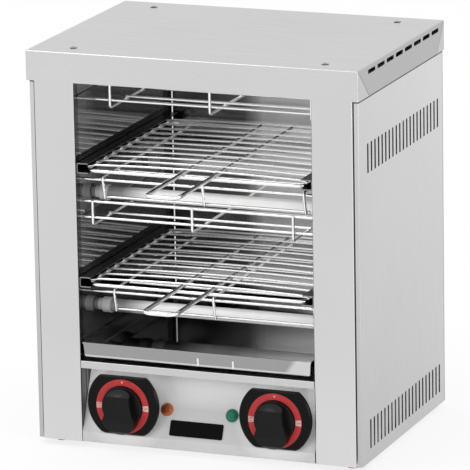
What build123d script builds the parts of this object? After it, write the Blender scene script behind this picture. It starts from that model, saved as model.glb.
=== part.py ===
from build123d import *
import math
import os

os.makedirs("parts", exist_ok=True)

# Two deck quartz toaster, in millimetres, Z up, front towards -Y, standing on Z = 0

# Body
sheet = 1.0
sheet_bend = 1.2
seam_gap = 0.1
sheet_gap = 0.3
hole_gap = 0.2
overrun = 5.0
foot_height = 6.0
body_width = 340.0
body_depth = 247.0
body_height = 390.5
handle_reach = 91.0
gland_reach = 21.0

# Cover
cover_overhang = 1.4
cover_front_overhang = 2.0
skirt_height = 29.8
cover_edge = 1.4
seam_width = 0.5
front_seam_run = 36.0
rear_seam_run = 28.0
seam_drop = 1.6
skirt_slot_count = 8
skirt_slot_pitch = 26.3
skirt_slot_length = 20.5
skirt_slot_height = 4.2
skirt_slot_corner = 1.6
skirt_slot_drop = 6.3
cover_screw_side_inset = 40.0
cover_screw_inset = 21.0
cover_screw_head = 0.7
cover_screw_recess = 0.5

# Front columns and opening
opening_width = 244.4
header_height = 28.1
column_side_gap = 5.8
column_inner_return = 9.0
column_outer_return = 14.0
column_foot_reach = 5.0

# Side panels
side_front_recess = 2.4
side_seam = 1.0
side_top_gap = 10.5
side_rear_flange = 13.0
side_bottom_flange = 8.0
panel_top_gap = 1.0
vent_count = 21
vent_pitch = 10.15
vent_width = 4.0
vent_height = 29.2
vent_corner = 0.9
vent_shift = 4.8
upper_vent_drop = 89.5
lower_vent_rise = 27.5

# Headers behind the skirt
front_header_flange = 32.0
front_header_return = 11.0
rear_header_flange = 32.0
rear_header_drop = 30.0
rear_header_gap = 2.0

# Toasting chamber
back_wall_gap = 6.2
ceiling_gap = 14.5
doubler_start = 3.0
doubler_end = 16.0
ceiling_front = 11.4

# Sill shelf
sill_top = 82.6
sill_lip = 7.2
sill_edge = 0.8
shelf_flange = 19.6
shelf_flange_start = 48.0
runner_height = 3.6
runner_width = 11.0
runner_front = 30.0
runner_rear_gap = 4.0

# Control panel
panel_tilt = 23.4
panel_lip = 10.2
panel_bottom_flange = 22.0
panel_top_flange = 12.0
panel_side_gap = 0.3

# Base and feet
base_front = 14.4
base_rear_flange = 14.0
foot_radius = 7.0
foot_tip_radius = 6.2
foot_side_gap = 1.0
foot_inset = 22.5
foot_bore_radius = 4.2
foot_bore_depth = 3.0

# Decks: two rows of tubes with a rack above each, and one more row of tubes at the top
bottom_tube_rise = 44.6
top_tube_drop = 20.0
rail_height = 10.4
rail_width = 11.7
rail_sheet = 1.1
rail_front = 2.5
rail_rear_gap = 4.0

# Racks
rack_side_gap = 8.2
rack_front = 5.0
rack_rear_gap = 17.8
rack_corner = 11.0
rack_wire_radius = 1.75
cross_wire_radius = 1.2
cross_wire_count = 11
cross_wire_inset = 7.5
cross_end_run = 8.0
cross_end_bend = 8.0
crown_radius = 1500.0
crown_height = 2.1
handle_wire_radius = 2.0
handle_half_width = 16.5
lower_handle_shift = -1.5
upper_handle_shift = 3.9
handle_corner = 9.0
weld = 0.3
running_gap = 0.1

# Wire guards round the tubes
guard_wire_radius = 1.4
guard_bend = 3.0
guard_bar_margin = 35.8
guard_bar_count = 5
guard_wire_pitch = 104.3
guard_above_tube = 25.5
guard_below_tube = 22.8
guard_rise = 24.4
guard_drop = 22.5
guard_lean = 6.0
guard_rest_bar_rise = 7.0
guard_rest_bar_drop = 3.3
guard_tip = 1.4
guard_pin = 2.3
guard_bar_tail = 2.0
top_guard_front = 26.0
middle_guard_front = 9.5
bottom_guard_front = 17.0
top_guard_shift = 9.0
middle_upper_guard_shift = 6.0
middle_lower_guard_shift = -5.0
bottom_guard_shift = 12.0

# Quartz tubes
tube_radius = 6.6
tube_wall = 1.0
tube_drop = 29.6
tube_front = 52.0
tube_rear_gap = 52.8
cap_collar_radius = 7.7
cap_collar_length = 8.5
cap_collar_inset = 13.2
cap_seat_depth = 6.0
cap_shank_radius = 5.8
cap_overhang = 17.8
core_radius = 2.4
pin_radius = 1.0
pin_length = 5.3
bus_radius = 1.6
bus_bend = 6.0
grommet_radius = 3.2

# Crumb tray
tray_sheet = 0.8
tray_side_gap = 3.3
tray_shift = -1.0
tray_front = 1.5
tray_rear_gap = 6.8
tray_height = 15.2
tray_draft = 5.6
tray_hem = 1.6
tray_corner = 3.0
tray_bottom_bend = 2.0

# Timers, bezels and knobs
knob_x = 79.75
knob_shift = 2.9
knob_z = 40.9
bezel_stand = 0.4
bezel_radius = 37.5
bezel_height = 59.0
bezel_rise = 0.9
bezel_arc_rise = 1.0
bezel_top_corner = 4.0
bezel_bottom_corner = 10.0
bezel_thickness = 4.0
bezel_chamfer = 1.2
bezel_neck_radius = 22.0
bezel_bore = 6.5
dial_outer = 27.7
dial_inner = 21.3
dial_thickness = 0.4
knob_radius = 20.8
knob_gap = 0.5
knob_base = 3.4
knob_edge = 1.0
knob_height = 17.2
grip_head_half_width = 12.0
grip_waist_half_width = 13.0
grip_half_width = 17.0
grip_wide_y = 12.0
grip_tail = 27.0
grip_corner = 3.0
grip_lift = 1.0
grip_edge = 1.2
grip_setback = 1.6
shaft_radius = 3.0
shaft_gap = 0.05
shaft_press = 0.02
shaft_front = 13.5
shaft_rear = 16.0
timer_size = 48.0
timer_depth = 28.0
timer_corner = 3.0
timer_boss_radius = 5.2
timer_boss_length = 4.0
timer_screw_x = 15.0

# Pilot lamps and badge
pilot_x = 34.2
pilot_shift = -2.0
pilot_s = 29.2
lens_radius = 6.5
lens_flange = 1.2
lens_height = 4.4
holder_radius = 5.0
holder_length = 26.0
holder_nut_radius = 8.0
holder_nut_height = 3.0
badge_x = -3.0
badge_s = 11.8
badge_width = 55.5
badge_height = 15.4
badge_thickness = 0.8
badge_corner = 1.5

# Screws
screw_head_radius = 3.5
screw_head_height = 1.5
screw_radius = 1.8
screw_length = 7.0
recess_width = 0.9
recess_length = 4.2
recess_depth = 0.8
nut_radius = 3.7
nut_height = 2.6

# Cable inlet, terminal block and wiring
gland_side_inset = 58.0
gland_z = 34.0
gland_bore = 3.75
gland_shank_radius = 8.0
gland_flange_radius = 11.0
gland_flange_length = 6.0
gland_cap_radius = 9.5
gland_cap_tip_radius = 7.0
gland_inner_length = 9.0
gland_nut_length = 4.0
block_length = 42.0
block_width = 18.0
block_height = 17.0
block_x = 60.0
block_rear_gap = 42.0
block_poles = 3
block_bore = 2.6
supply_radius = 1.6
supply_bend = 8.0

# Levels and places worked out from the sizes above
half_width = body_width / 2
half_opening = opening_width / 2
base_z = foot_height
front_y = handle_reach - (handle_reach + body_depth + gland_reach) / 2
rear_y = front_y + body_depth
body_top = base_z + body_height
column_edge = half_width - column_side_gap
wall_inner = half_opening
wall_outer = wall_inner + sheet
back_wall_y = rear_y - back_wall_gap
floor_top = base_z + sheet + sheet
shelf_top = base_z + sill_top
shelf_bottom = shelf_top - sheet
opening_z = body_top - header_height
ceiling_z = body_top - ceiling_gap
side_inner = half_width - sheet
vent_middle_y = (front_y + rear_y) / 2 + vent_shift
upper_vent_z = body_top - upper_vent_drop
lower_vent_z = base_z + lower_vent_rise
bottom_tube_z = shelf_top + bottom_tube_rise
deck_pitch = (ceiling_z - top_tube_drop - bottom_tube_z) / 2
tube_levels = [bottom_tube_z + deck_pitch * level for level in range(3)]
rail_levels = [z + tube_drop for z in tube_levels]
tube_ys = [front_y + tube_front, back_wall_y - tube_rear_gap]
rack_half_width = wall_inner - rack_side_gap
rack_rear_y = back_wall_y - rack_rear_gap
guard_bar_pitch = (back_wall_y - front_y - guard_bar_margin) / guard_bar_count
cap_collar_inner = wall_inner - cap_collar_inset
cap_reach = wall_inner + cap_overhang
bus_x = cap_reach + pin_length + seam_gap + bus_radius
tray_half_width = wall_inner - tray_side_gap
block_y = rear_y - block_rear_gap
gland_x = half_width - gland_side_inset
tilt = math.radians(panel_tilt)
panel_up = Vector(0, math.sin(tilt), math.cos(tilt))
panel_out = Vector(0, -math.cos(tilt), math.sin(tilt))
panel_pivot = Vector(0, front_y + sheet / 2, base_z + panel_lip)
panel_half_width = half_opening - panel_side_gap
knob_floor = bezel_thickness + knob_gap
knob_xs = {"left": knob_shift - knob_x, "right": knob_shift + knob_x}
pilot_xs = {"orange": pilot_shift - pilot_x, "green": pilot_shift + pilot_x}
seat_s = (knob_z - panel_lip - math.sin(tilt) * sheet / 2) / math.cos(tilt)


# Helpers
def slab(x0, x1, y0, y1, z0, z1):
    """A box between two corners."""
    middle = Vector((x0 + x1) / 2, (y0 + y1) / 2, (z0 + z1) / 2)
    return Pos(middle) * Box(abs(x1 - x0), abs(y1 - y0), abs(z1 - z0))


def prism_x(face, x0, x1):
    """A (y, z) outline extruded along X."""
    return extrude(Plane.YZ.offset(x0) * face, amount=x1 - x0)


def prism_y(face, y0, y1):
    """An (x, z) outline extruded along Y."""
    return extrude(Plane.XZ.offset(-y1) * face, amount=y1 - y0)


def prism_z(face, z0, z1):
    """An (x, y) outline extruded along Z."""
    return extrude(Plane.XY.offset(z0) * face, amount=z1 - z0)


def strip(points, thickness=sheet, bend=sheet_bend):
    """The section of a folded sheet along its middle line."""
    return trace(FilletPolyline(*points, radius=bend), line_width=thickness)


def rod(start, end, radius):
    """A straight round bar."""
    run = Vector(end) - Vector(start)
    return extrude(Plane(origin=start, z_dir=run) * Circle(radius), amount=run.length)


def bent_rod(points, radius, bend, closed=False):
    """A round wire along straight runs joined by arcs."""
    path = FilletPolyline(*points, radius=bend, close=closed)
    return sweep(Plane(origin=path @ 0, z_dir=path % 0) * Circle(radius), path=path)


def mirrored(shape):
    """The same piece on the other side of the middle plane."""
    return mirror(shape, about=Plane.YZ)


def both_sides(shape):
    return Compound([shape, mirrored(shape)])


def panel_plane(x, s):
    """The control panel's outer face, x across and s up its slope."""
    origin = panel_pivot + panel_up * s + panel_out * (sheet / 2) + Vector(x, 0, 0)
    return Plane(origin=origin, x_dir=(1, 0, 0), z_dir=panel_out)


def screw(place, length=screw_length, head_height=screw_head_height, recess=recess_depth):
    """A cross recess screw, its head on the face at place."""
    head = Pos(0, 0, head_height / 2) * Cylinder(screw_head_radius, head_height)
    head = fillet(head.edges().group_by(Axis.Z)[-1], head_height / 2)
    body = head + Pos(0, 0, -length / 2) * Cylinder(screw_radius, length)
    for turn in (0, 90):
        groove = Box(recess_length, recess_width, recess + recess)
        body -= Pos(0, 0, head_height) * Rot(0, 0, turn) * groove
    return place * body


def holes(places, radius, depth=overrun):
    """Round cutters centred on each place."""
    return [place * Cylinder(radius, depth + depth) for place in places]


def facing(x, y, z, direction):
    return Plane(origin=(x, y, z), z_dir=direction)


# Screw places
cover_screw_places = [
    facing(x, y, body_top + sheet, (0, 0, 1))
    for x in (cover_screw_side_inset - half_width, half_width - cover_screw_side_inset)
    for y in (front_y + cover_screw_inset, rear_y - cover_screw_inset)
]
back_screw_x = half_width - side_rear_flange / 2
back_screw_shares = (0.05, 0.33, 0.61, 0.88)
back_screw_places = [
    facing(x, rear_y, base_z + body_height * share, (0, 1, 0))
    for x in (-back_screw_x, back_screw_x)
    for share in back_screw_shares
]
base_screw_x = side_inner - side_bottom_flange / 2
base_screw_shares = (0.25, 0.5, 0.75)
base_screw_places = [
    facing(x, front_y + body_depth * share, base_z, (0, 0, -1))
    for x in (-base_screw_x, base_screw_x)
    for share in base_screw_shares
]
foot_x = side_inner - side_bottom_flange - foot_side_gap - foot_radius
foot_places = [
    (x, y) for x in (-foot_x, foot_x) for y in (front_y + foot_inset, rear_y - foot_inset)
]
knob_planes = {
    side: Plane(
        origin=(x, front_y - bezel_stand, base_z + knob_z), x_dir=(1, 0, 0), z_dir=(0, -1, 0)
    )
    for side, x in knob_xs.items()
}
seat_planes = {side: panel_plane(x, seat_s) for side, x in knob_xs.items()}
boss_places = [
    Plane(origin=plane.origin, x_dir=(1, 0, 0), z_dir=(0, -1, 0)) for plane in seat_planes.values()
]
pilot_planes = {colour: panel_plane(x, pilot_s) for colour, x in pilot_xs.items()}
timer_screw_places = [
    plane * Pos(x, 0, 0) for plane in seat_planes.values() for x in (-timer_screw_x, timer_screw_x)
]
screw_hole = screw_radius + hole_gap
seat_depth = seat_planes["right"].origin.Y - knob_planes["right"].origin.Y
grommet_y = seat_planes["right"].origin.Y + (sheet + timer_depth) * math.cos(tilt)
grommet_z = seat_planes["right"].origin.Z - (sheet + timer_depth) * math.sin(tilt)


# Casing
def vent_cutters():
    """Both groups of upright slots in one side panel."""
    cutters = []
    first = vent_middle_y - vent_pitch * (vent_count - 1) / 2
    for level in (upper_vent_z, lower_vent_z):
        for index in range(vent_count):
            outline = RectangleRounded(vent_width, vent_height, vent_corner)
            centre = Pos(first + vent_pitch * index, level) * outline
            cutters.append(prism_x(centre, side_inner - overrun, half_width + overrun))
    return cutters


def side_panel():
    """The right side panel with its front, rear and bottom flanges."""
    middle = half_width - sheet / 2
    front = front_y + side_front_recess + sheet / 2
    rear = rear_y - sheet - sheet / 2
    inner_front = column_edge + side_seam
    inner_rear = half_width - side_rear_flange
    section = strip([(inner_front, front), (middle, front), (middle, rear), (inner_rear, rear)])
    shell = prism_z(section, base_z, body_top - side_top_gap)
    shell += slab(
        side_inner - side_bottom_flange, middle,
        front_y + foot_inset, rear_y - sheet - sheet - sheet_gap,
        base_z, base_z + sheet,
    )
    cutters = vent_cutters()
    cutters += holes([p for p in back_screw_places if p.origin.X > 0], screw_hole)
    cutters += holes([p for p in base_screw_places if p.origin.X > 0], screw_hole)
    return shell - cutters


def column():
    """The right front column, folded from one sheet."""
    inner = half_opening + sheet / 2
    outer = column_edge - sheet / 2
    face = front_y + sheet / 2
    foot_y = front_y + column_outer_return - sheet / 2
    section = strip([
        (inner, front_y + column_inner_return),
        (inner, face),
        (outer, face),
        (outer, foot_y),
        (outer + column_foot_reach, foot_y),
    ])
    return prism_z(section, base_z, body_top - sheet - seam_gap)


def top_cover():
    """The cover with its skirts, corner seams and side slots."""
    x = half_width + cover_overhang
    y0 = front_y - cover_front_overhang
    y1 = rear_y + cover_overhang
    top = body_top + sheet
    bottom = top - skirt_height
    shell = slab(-x, x, y0, y1, bottom, top)
    edges = shell.edges().filter_by(Axis.Z) + shell.edges().group_by(Axis.Z)[-1]
    shell = fillet(edges, cover_edge)
    shell -= slab(-x + sheet, x - sheet, y0 + sheet, y1 - sheet, bottom - overrun, body_top)
    cutters = holes(cover_screw_places, screw_hole)
    first = vent_middle_y - skirt_slot_pitch * (skirt_slot_count - 1) / 2
    slot = RectangleRounded(skirt_slot_length, skirt_slot_height, skirt_slot_corner)
    for index in range(skirt_slot_count):
        centre = Pos(first + skirt_slot_pitch * index, top - skirt_slot_drop) * slot
        cutters.append(prism_x(centre, -x - overrun, x + overrun))
    seam_start = top - seam_drop
    for edge, inward, run in ((y0, 1, front_seam_run), (y1, -1, rear_seam_run)):
        line = Line(
            (edge + inward * seam_drop, seam_start),
            (edge + inward * run, bottom - overrun),
        )
        section = trace(line, line_width=seam_width)
        cutters.append(prism_x(section, x - sheet - overrun, x + overrun))
        cutters.append(prism_x(section, -x - overrun, -x + sheet + overrun))
    return shell - cutters


def front_header():
    """The folded rail over the opening, behind the cover's front skirt."""
    inner = half_opening - panel_side_gap
    z0 = opening_z
    web_y = front_y + seam_width + sheet / 2
    section = strip([
        (front_y + front_header_return, z0 + sheet / 2),
        (web_y, z0 + sheet / 2),
        (web_y, body_top - sheet / 2),
        (front_y + front_header_flange, body_top - sheet / 2),
    ])
    rail = prism_x(section, -inner, inner)
    rail += slab(
        -column_edge, column_edge, front_y + sheet, front_y + front_header_flange,
        body_top - sheet, body_top,
    )
    return rail - holes(cover_screw_places, screw_hole)


def rear_header():
    """The angle under the cover at the back."""
    web_y = rear_y - sheet - seam_gap - sheet / 2
    section = strip([
        (rear_y - rear_header_flange, body_top - sheet / 2),
        (web_y, body_top - sheet / 2),
        (web_y, body_top - rear_header_drop),
    ])
    reach = half_width - side_rear_flange - rear_header_gap
    rail = prism_x(section, -reach, reach)
    return rail - holes(cover_screw_places, screw_hole)


def back_panel():
    """The flat rear panel, with air slots and the hole for the cable gland."""
    edge = half_width - seam_gap
    plate = slab(-edge, edge, rear_y - sheet, rear_y, base_z, body_top - panel_top_gap)
    cutters = holes(back_screw_places, screw_hole)
    gland_place = facing(gland_x, rear_y, base_z + gland_z, (0, 1, 0))
    cutters += holes([gland_place], gland_shank_radius + hole_gap)
    first = -vent_pitch * (vent_count - 1) / 2
    for index in range(vent_count):
        outline = RectangleRounded(vent_width, vent_height, vent_corner)
        centre = Pos(first + vent_pitch * index, upper_vent_z) * outline
        cutters.append(prism_y(centre, rear_y - overrun, rear_y + overrun))
    return plate - cutters


def base_plate():
    """The floor of the casing, with its rear flange turned up."""
    edge = side_inner - sheet_gap
    rear = rear_y - sheet - seam_gap
    plate = slab(-edge, edge, front_y + base_front, rear, base_z + sheet, floor_top)
    half_flange = half_width - side_rear_flange - sheet
    plate += slab(
        -half_flange, half_flange, rear - sheet, rear, base_z + sheet, base_z + base_rear_flange
    )
    corner = slab(
        half_flange, edge + overrun, rear - sheet - sheet_gap, rear + overrun,
        base_z, floor_top + overrun,
    )
    plate -= [corner, mirrored(corner)]
    foot_planes = [facing(x, y, floor_top, (0, 0, 1)) for x, y in foot_places]
    cutters = holes(foot_planes, screw_hole) + holes(base_screw_places, screw_hole)
    return plate - cutters


def foot():
    """One rubber foot, hollow below for its screw's head."""
    height = foot_height + sheet
    body = Pos(0, 0, height / 2) * Cone(foot_tip_radius, foot_radius, height)
    body -= Cylinder(foot_bore_radius, foot_bore_depth + foot_bore_depth)
    return body - Pos(0, 0, height / 2) * Cylinder(screw_hole, height + overrun)


def foot_fastener(x, y):
    """A foot's screw from below and its hexagon nut on the base plate."""
    place = facing(x, y, foot_bore_depth, (0, 0, -1))
    length = floor_top + nut_height + sheet - foot_bore_depth
    nut = extrude(RegularPolygon(nut_radius, 6), amount=nut_height)
    nut -= Cylinder(screw_radius + seam_gap, nut_height + overrun + overrun)
    return [screw(place, length), Pos(x, y, floor_top) * nut]


# Chamber
def cap_holes():
    """Cutters for the tubes' end caps in the right chamber wall."""
    places = [facing(wall_inner, y, z, (1, 0, 0)) for y in tube_ys for z in tube_levels]
    return holes(places, cap_shank_radius + sheet_gap)


def chamber_wall():
    """The right chamber wall and the doubler that laps the column's return."""
    start = front_y + column_inner_return + hole_gap
    wall = slab(wall_inner, wall_outer, start, back_wall_y + sheet, floor_top, ceiling_z)
    wall += slab(
        wall_outer, wall_outer + sheet,
        front_y + doubler_start, front_y + doubler_end, floor_top, ceiling_z,
    )
    places = [facing(wall_inner, y, z, (1, 0, 0)) for y, z in guard_bar_places()]
    cutters = cap_holes() + holes(places, guard_wire_radius + hole_gap)
    grommet = facing(wall_inner, grommet_y, grommet_z, (1, 0, 0))
    return wall - cutters - holes([grommet], grommet_radius)


def chamber_back_wall():
    """The wall behind the racks, with holes for the guards' long wires."""
    edge = wall_inner - seam_gap
    wall = slab(
        -edge, edge, back_wall_y, back_wall_y + sheet,
        shelf_bottom - shelf_flange, ceiling_z - seam_gap,
    )
    places = [
        facing(x, back_wall_y, guard["z"], (0, 1, 0))
        for guard in guards.values()
        for x in guard_wire_xs(guard)
    ]
    return wall - holes(places, guard_wire_radius + hole_gap)


def ceiling_reflector():
    """The bright plate over the top tubes, its front edge turned down."""
    plate = slab(
        -wall_outer, wall_outer, front_y + ceiling_front, back_wall_y + sheet,
        ceiling_z, ceiling_z + sheet,
    )
    edge = wall_inner - seam_gap
    plate += slab(
        -edge, edge, front_y + ceiling_front, front_y + ceiling_front + sheet,
        opening_z + hole_gap, ceiling_z + sheet,
    )
    return plate


def sill_shelf():
    """The chamber floor, with the front lip under the opening and side flanges."""
    lip_edge = panel_half_width
    edge = wall_inner - seam_gap
    split_y = front_y + shelf_flange_start
    front = slab(-lip_edge, lip_edge, front_y, split_y, shelf_bottom, shelf_top)
    front += slab(-lip_edge, lip_edge, front_y, front_y + sheet, shelf_top - sill_lip, shelf_top)
    outer_edge = front.edges().filter_by(Axis.X).group_by(Axis.Z)[-1].sort_by(Axis.Y)[0]
    front = fillet(outer_edge, sill_edge)
    middle = edge - sheet / 2
    bottom = shelf_bottom - shelf_flange
    section = strip([
        (-middle, bottom),
        (-middle, shelf_top - sheet / 2),
        (middle, shelf_top - sheet / 2),
        (middle, bottom),
    ])
    return front + prism_y(section, split_y, back_wall_y - seam_gap)


def tray_runner():
    """The right strip that the crumb tray slides on."""
    outer = wall_inner - seam_gap
    return slab(
        outer - runner_width, outer, front_y + runner_front, back_wall_y - runner_rear_gap,
        shelf_top, shelf_top + runner_height,
    )


def control_panel():
    """The sloping panel with holes for the timers and pilot lamps."""
    top_z = shelf_bottom - sheet / 2 - seam_gap
    top_y = panel_pivot.Y + (top_z - panel_pivot.Z) * math.tan(tilt)
    section = strip([
        (front_y + panel_bottom_flange, base_z + sheet / 2),
        (front_y + sheet / 2, base_z + sheet / 2),
        (panel_pivot.Y, panel_pivot.Z),
        (top_y, top_z),
        (top_y + panel_top_flange, top_z),
    ])
    panel = prism_x(section, -panel_half_width, panel_half_width)
    cutters = holes(boss_places, timer_boss_radius + hole_gap)
    cutters += holes(pilot_planes.values(), holder_radius + hole_gap)
    cutters += holes(timer_screw_places, screw_hole)
    return panel - cutters


# Rails and racks
def rail(level):
    """The right rack rail at one level, open towards the chamber."""
    z0 = rail_levels[level]
    inner = wall_inner - rail_width
    web = wall_inner - rail_sheet / 2
    half = rail_sheet / 2
    section = strip(
        [(inner, z0 + half), (web, z0 + half), (web, z0 + rail_height - half),
         (inner, z0 + rail_height - half)],
        thickness=rail_sheet,
    )
    return prism_y(section, front_y + rail_front, back_wall_y - rail_rear_gap)


def rack_levels(level):
    """Heights of the frame wire, handle wire and cross wires of one rack."""
    frame_z = rail_levels[level] + rail_sheet + running_gap + rack_wire_radius
    handle_z = frame_z + rack_wire_radius + handle_wire_radius - weld
    cross_z = handle_z + handle_wire_radius + cross_wire_radius - weld
    return frame_z, handle_z, cross_z


def cross_wire(y, frame_z, cross_z):
    """One slightly crowned cross wire with its ends bent down to the frame."""
    flat_z = cross_z - crown_height
    end_z = frame_z + rack_wire_radius + cross_wire_radius - weld
    crown_shares = ((1.0, 0.0), (0.5, 0.75), (0.0, 1.0), (-0.5, 0.75), (-1.0, 0.0))
    flat_half = rack_half_width - cross_end_run
    points = [(-rack_half_width, y, end_z)]
    points += [
        (-flat_half * along, y, flat_z + crown_height * rise) for along, rise in crown_shares
    ]
    points += [(rack_half_width, y, end_z)]
    bends = [cross_end_bend, crown_radius, crown_radius, crown_radius, cross_end_bend]
    return bent_rod(points, cross_wire_radius, bends)


def rack(level):
    """The welded grid of one rack."""
    frame_z, _, cross_z = rack_levels(level)
    y0 = front_y + rack_front
    y1 = rack_rear_y
    x = rack_half_width
    grid = bent_rod(
        [(-x, y0, frame_z), (x, y0, frame_z), (x, y1, frame_z), (-x, y1, frame_z)],
        rack_wire_radius, rack_corner, closed=True,
    )
    first = y0 + cross_wire_inset
    pitch = (y1 - y0 - cross_wire_inset - cross_wire_inset) / (cross_wire_count - 1)
    wires = [cross_wire(first + pitch * index, frame_z, cross_z) for index in range(cross_wire_count)]
    return grid + wires


def rack_handle(level, shift):
    """The long wire loop under the cross wires, its front end the handle."""
    _, handle_z, _ = rack_levels(level)
    tip = front_y - handle_reach + handle_wire_radius
    end = rack_rear_y + rack_wire_radius
    left = shift - handle_half_width
    right = shift + handle_half_width
    points = [
        (left, end, handle_z), (left, tip, handle_z), (right, tip, handle_z), (right, end, handle_z)
    ]
    return bent_rod(points, handle_wire_radius, handle_corner)


# Guards: those under a row of tubes turn up at the front, those over it turn down
guards = {
    "top_guard": {
        "z": tube_levels[2] - guard_below_tube, "turn": 1,
        "front": top_guard_front, "shift": top_guard_shift,
    },
    "middle_upper_guard": {
        "z": tube_levels[1] + guard_above_tube, "turn": -1,
        "front": middle_guard_front, "shift": middle_upper_guard_shift,
    },
    "middle_lower_guard": {
        "z": tube_levels[1] - guard_below_tube, "turn": 1,
        "front": middle_guard_front, "shift": middle_lower_guard_shift,
    },
    "bottom_guard": {
        "z": tube_levels[0] + guard_above_tube, "turn": -1,
        "front": bottom_guard_front, "shift": bottom_guard_shift,
    },
}
bar_seat = guard_wire_radius + guard_wire_radius - hole_gap


def guard_wire_xs(guard):
    return [guard["shift"] + guard_wire_pitch * index for index in (-1, 0, 1)]


def guard_front_bars(guard):
    """The (y, z) of the two bars behind the turned front, and which reach the walls."""
    y = front_y + guard["front"] + bar_seat
    z = guard["z"]
    if guard["turn"] > 0:
        return [(y, z + guard_rest_bar_rise, True), (y, z + guard_rise - guard_tip, True)]
    slope = guard_lean / guard_drop
    low = guard_drop - guard_tip
    return [
        (y + slope * guard_rest_bar_drop, z - guard_rest_bar_drop, True),
        (y + slope * low, z - low, False),
    ]


def guard_bar_places():
    """The (y, z) places where guard bars sit in the chamber walls."""
    return [
        (y, z) for guard in guards.values() for y, z, to_wall in guard_front_bars(guard) if to_wall
    ]


def wire_guard(guard):
    """One welded guard: long wires turned at the front, and cross bars."""
    y0 = front_y + guard["front"]
    z = guard["z"]
    rising = guard["turn"] > 0
    end_y = y0 if rising else y0 + guard_lean
    end_z = z + guard_rise if rising else z - guard_drop
    rear = back_wall_y + guard_pin
    xs = guard_wire_xs(guard)
    pieces = [
        bent_rod([(x, rear, z), (x, y0, z), (x, end_y, end_z)], guard_wire_radius, guard_bend)
        for x in xs
    ]
    tail = guard_wire_radius + guard_bar_tail
    for y, bar_z, to_wall in guard_front_bars(guard):
        left = -wall_inner - guard_pin if to_wall else xs[0]
        right = wall_inner + guard_pin if to_wall else xs[-1] + tail
        pieces.append(rod((left, y, bar_z), (right, y, bar_z), guard_wire_radius))
    bar_z = z + guard["turn"] * bar_seat
    for index in range(guard_bar_count):
        y = y0 + guard_bar_pitch * (index + 1)
        pieces.append(rod((xs[0], y, bar_z), (xs[-1] + tail, y, bar_z), guard_wire_radius))
    return pieces[0] + pieces[1:]


# Tubes
def quartz_tube(y, z):
    reach = cap_collar_inner + cap_seat_depth - seam_gap
    tube = rod((-reach, y, z), (reach, y, z), tube_radius)
    return tube - rod((-reach, y, z), (reach, y, z), tube_radius - tube_wall)


def heating_core(y, z):
    reach = cap_collar_inner + cap_seat_depth - seam_gap
    return rod((-reach, y, z), (reach, y, z), core_radius)


def end_cap(y, z):
    """The ceramic cap on a tube's right end, through the chamber wall."""
    shoulder = cap_collar_inner + cap_collar_length
    seat = cap_collar_inner + cap_seat_depth
    cap = rod((cap_collar_inner, y, z), (shoulder, y, z), cap_collar_radius)
    cap += rod((shoulder, y, z), (cap_reach, y, z), cap_shank_radius)
    return cap - rod((cap_collar_inner - overrun, y, z), (seat, y, z), tube_radius + seam_gap)


def terminal_pin(y, z):
    return rod((cap_reach, y, z), (cap_reach + pin_length, y, z), pin_radius)


def harness(reach):
    """The right bus wires, down the tubes' terminals and in to the timer at X = reach."""
    top = tube_levels[2] + bus_radius
    front, rear = tube_ys
    side_x = reach + timer_size / 2 + sheet_gap
    x = bus_x
    rise = bus_bend + bus_bend
    inward = bent_rod(
        [(x, front, top), (x, front, grommet_z + rise), (x, grommet_y, grommet_z),
         (side_x, grommet_y, grommet_z)],
        bus_radius, [bus_bend, bus_bend],
    )
    low = grommet_z + rise + rise
    across = bent_rod([(x, rear, top), (x, rear, low), (x, front, low)], bus_radius, bus_bend)
    return inward + across


# Crumb tray
def crumb_tray():
    """The shallow tray with sloping walls, a rounded floor edge and a hemmed rim."""
    z0 = shelf_top + runner_height + sheet_gap
    y0 = front_y + tray_front
    y1 = back_wall_y - tray_rear_gap
    place = Pos(tray_shift, (y0 + y1) / 2)

    def block(inset, height):
        width = tray_half_width + tray_half_width - inset - inset
        face = RectangleRounded(width, y1 - y0 - inset - inset, tray_corner)
        body = extrude(face, amount=height, taper=-tray_draft)
        return fillet(body.edges().group_by(Axis.Z)[0], tray_bottom_bend - inset)

    spread = tray_height * math.tan(math.radians(tray_draft))
    tray = block(0, tray_height) - Pos(0, 0, tray_sheet) * block(tray_sheet, tray_height + overrun)
    rim = RectangleRounded(
        tray_half_width + tray_half_width + spread + spread, y1 - y0 + spread + spread, tray_corner
    )
    opening = offset(rim, amount=-tray_hem)
    hem = extrude(Pos(0, 0, tray_height - tray_hem) * (rim - opening), amount=tray_hem)
    return Pos(0, 0, z0) * place * (tray + hem)


# Controls
def bezel(side):
    """The moulded upright plate behind a knob, on a neck that stands on the sloping panel."""
    outline = Pos(0, bezel_rise + bezel_arc_rise) * Circle(bezel_radius)
    outline &= Pos(0, bezel_rise) * Rectangle(bezel_radius + bezel_radius, bezel_height)
    outline = fillet(outline.vertices().group_by(Axis.Y)[-1], bezel_top_corner)
    outline = fillet(outline.vertices().group_by(Axis.Y)[0], bezel_bottom_corner)
    plate = extrude(outline, amount=bezel_thickness)
    plate = chamfer(plate.edges().group_by(Axis.Z)[-1], bezel_chamfer)
    neck_length = seat_depth + bezel_neck_radius
    plate += extrude(Circle(bezel_neck_radius), amount=-neck_length)
    plate -= Cylinder(bezel_bore, (neck_length + overrun) * 2)
    body = knob_planes[side] * plate
    span = bezel_radius + bezel_radius
    body -= seat_planes[side] * Pos(0, 0, -neck_length) * Box(span, span, neck_length * 2)
    pocket = Cylinder(screw_head_radius + sheet_gap, (screw_head_height + sheet_gap) * 2)
    return body - [seat_planes[side] * Pos(x, 0, 0) * pocket for x in (-timer_screw_x, timer_screw_x)]


def dial_ring():
    ring = Circle(dial_outer) - Circle(dial_inner)
    return Pos(0, 0, bezel_thickness) * extrude(ring, amount=dial_thickness)


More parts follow.
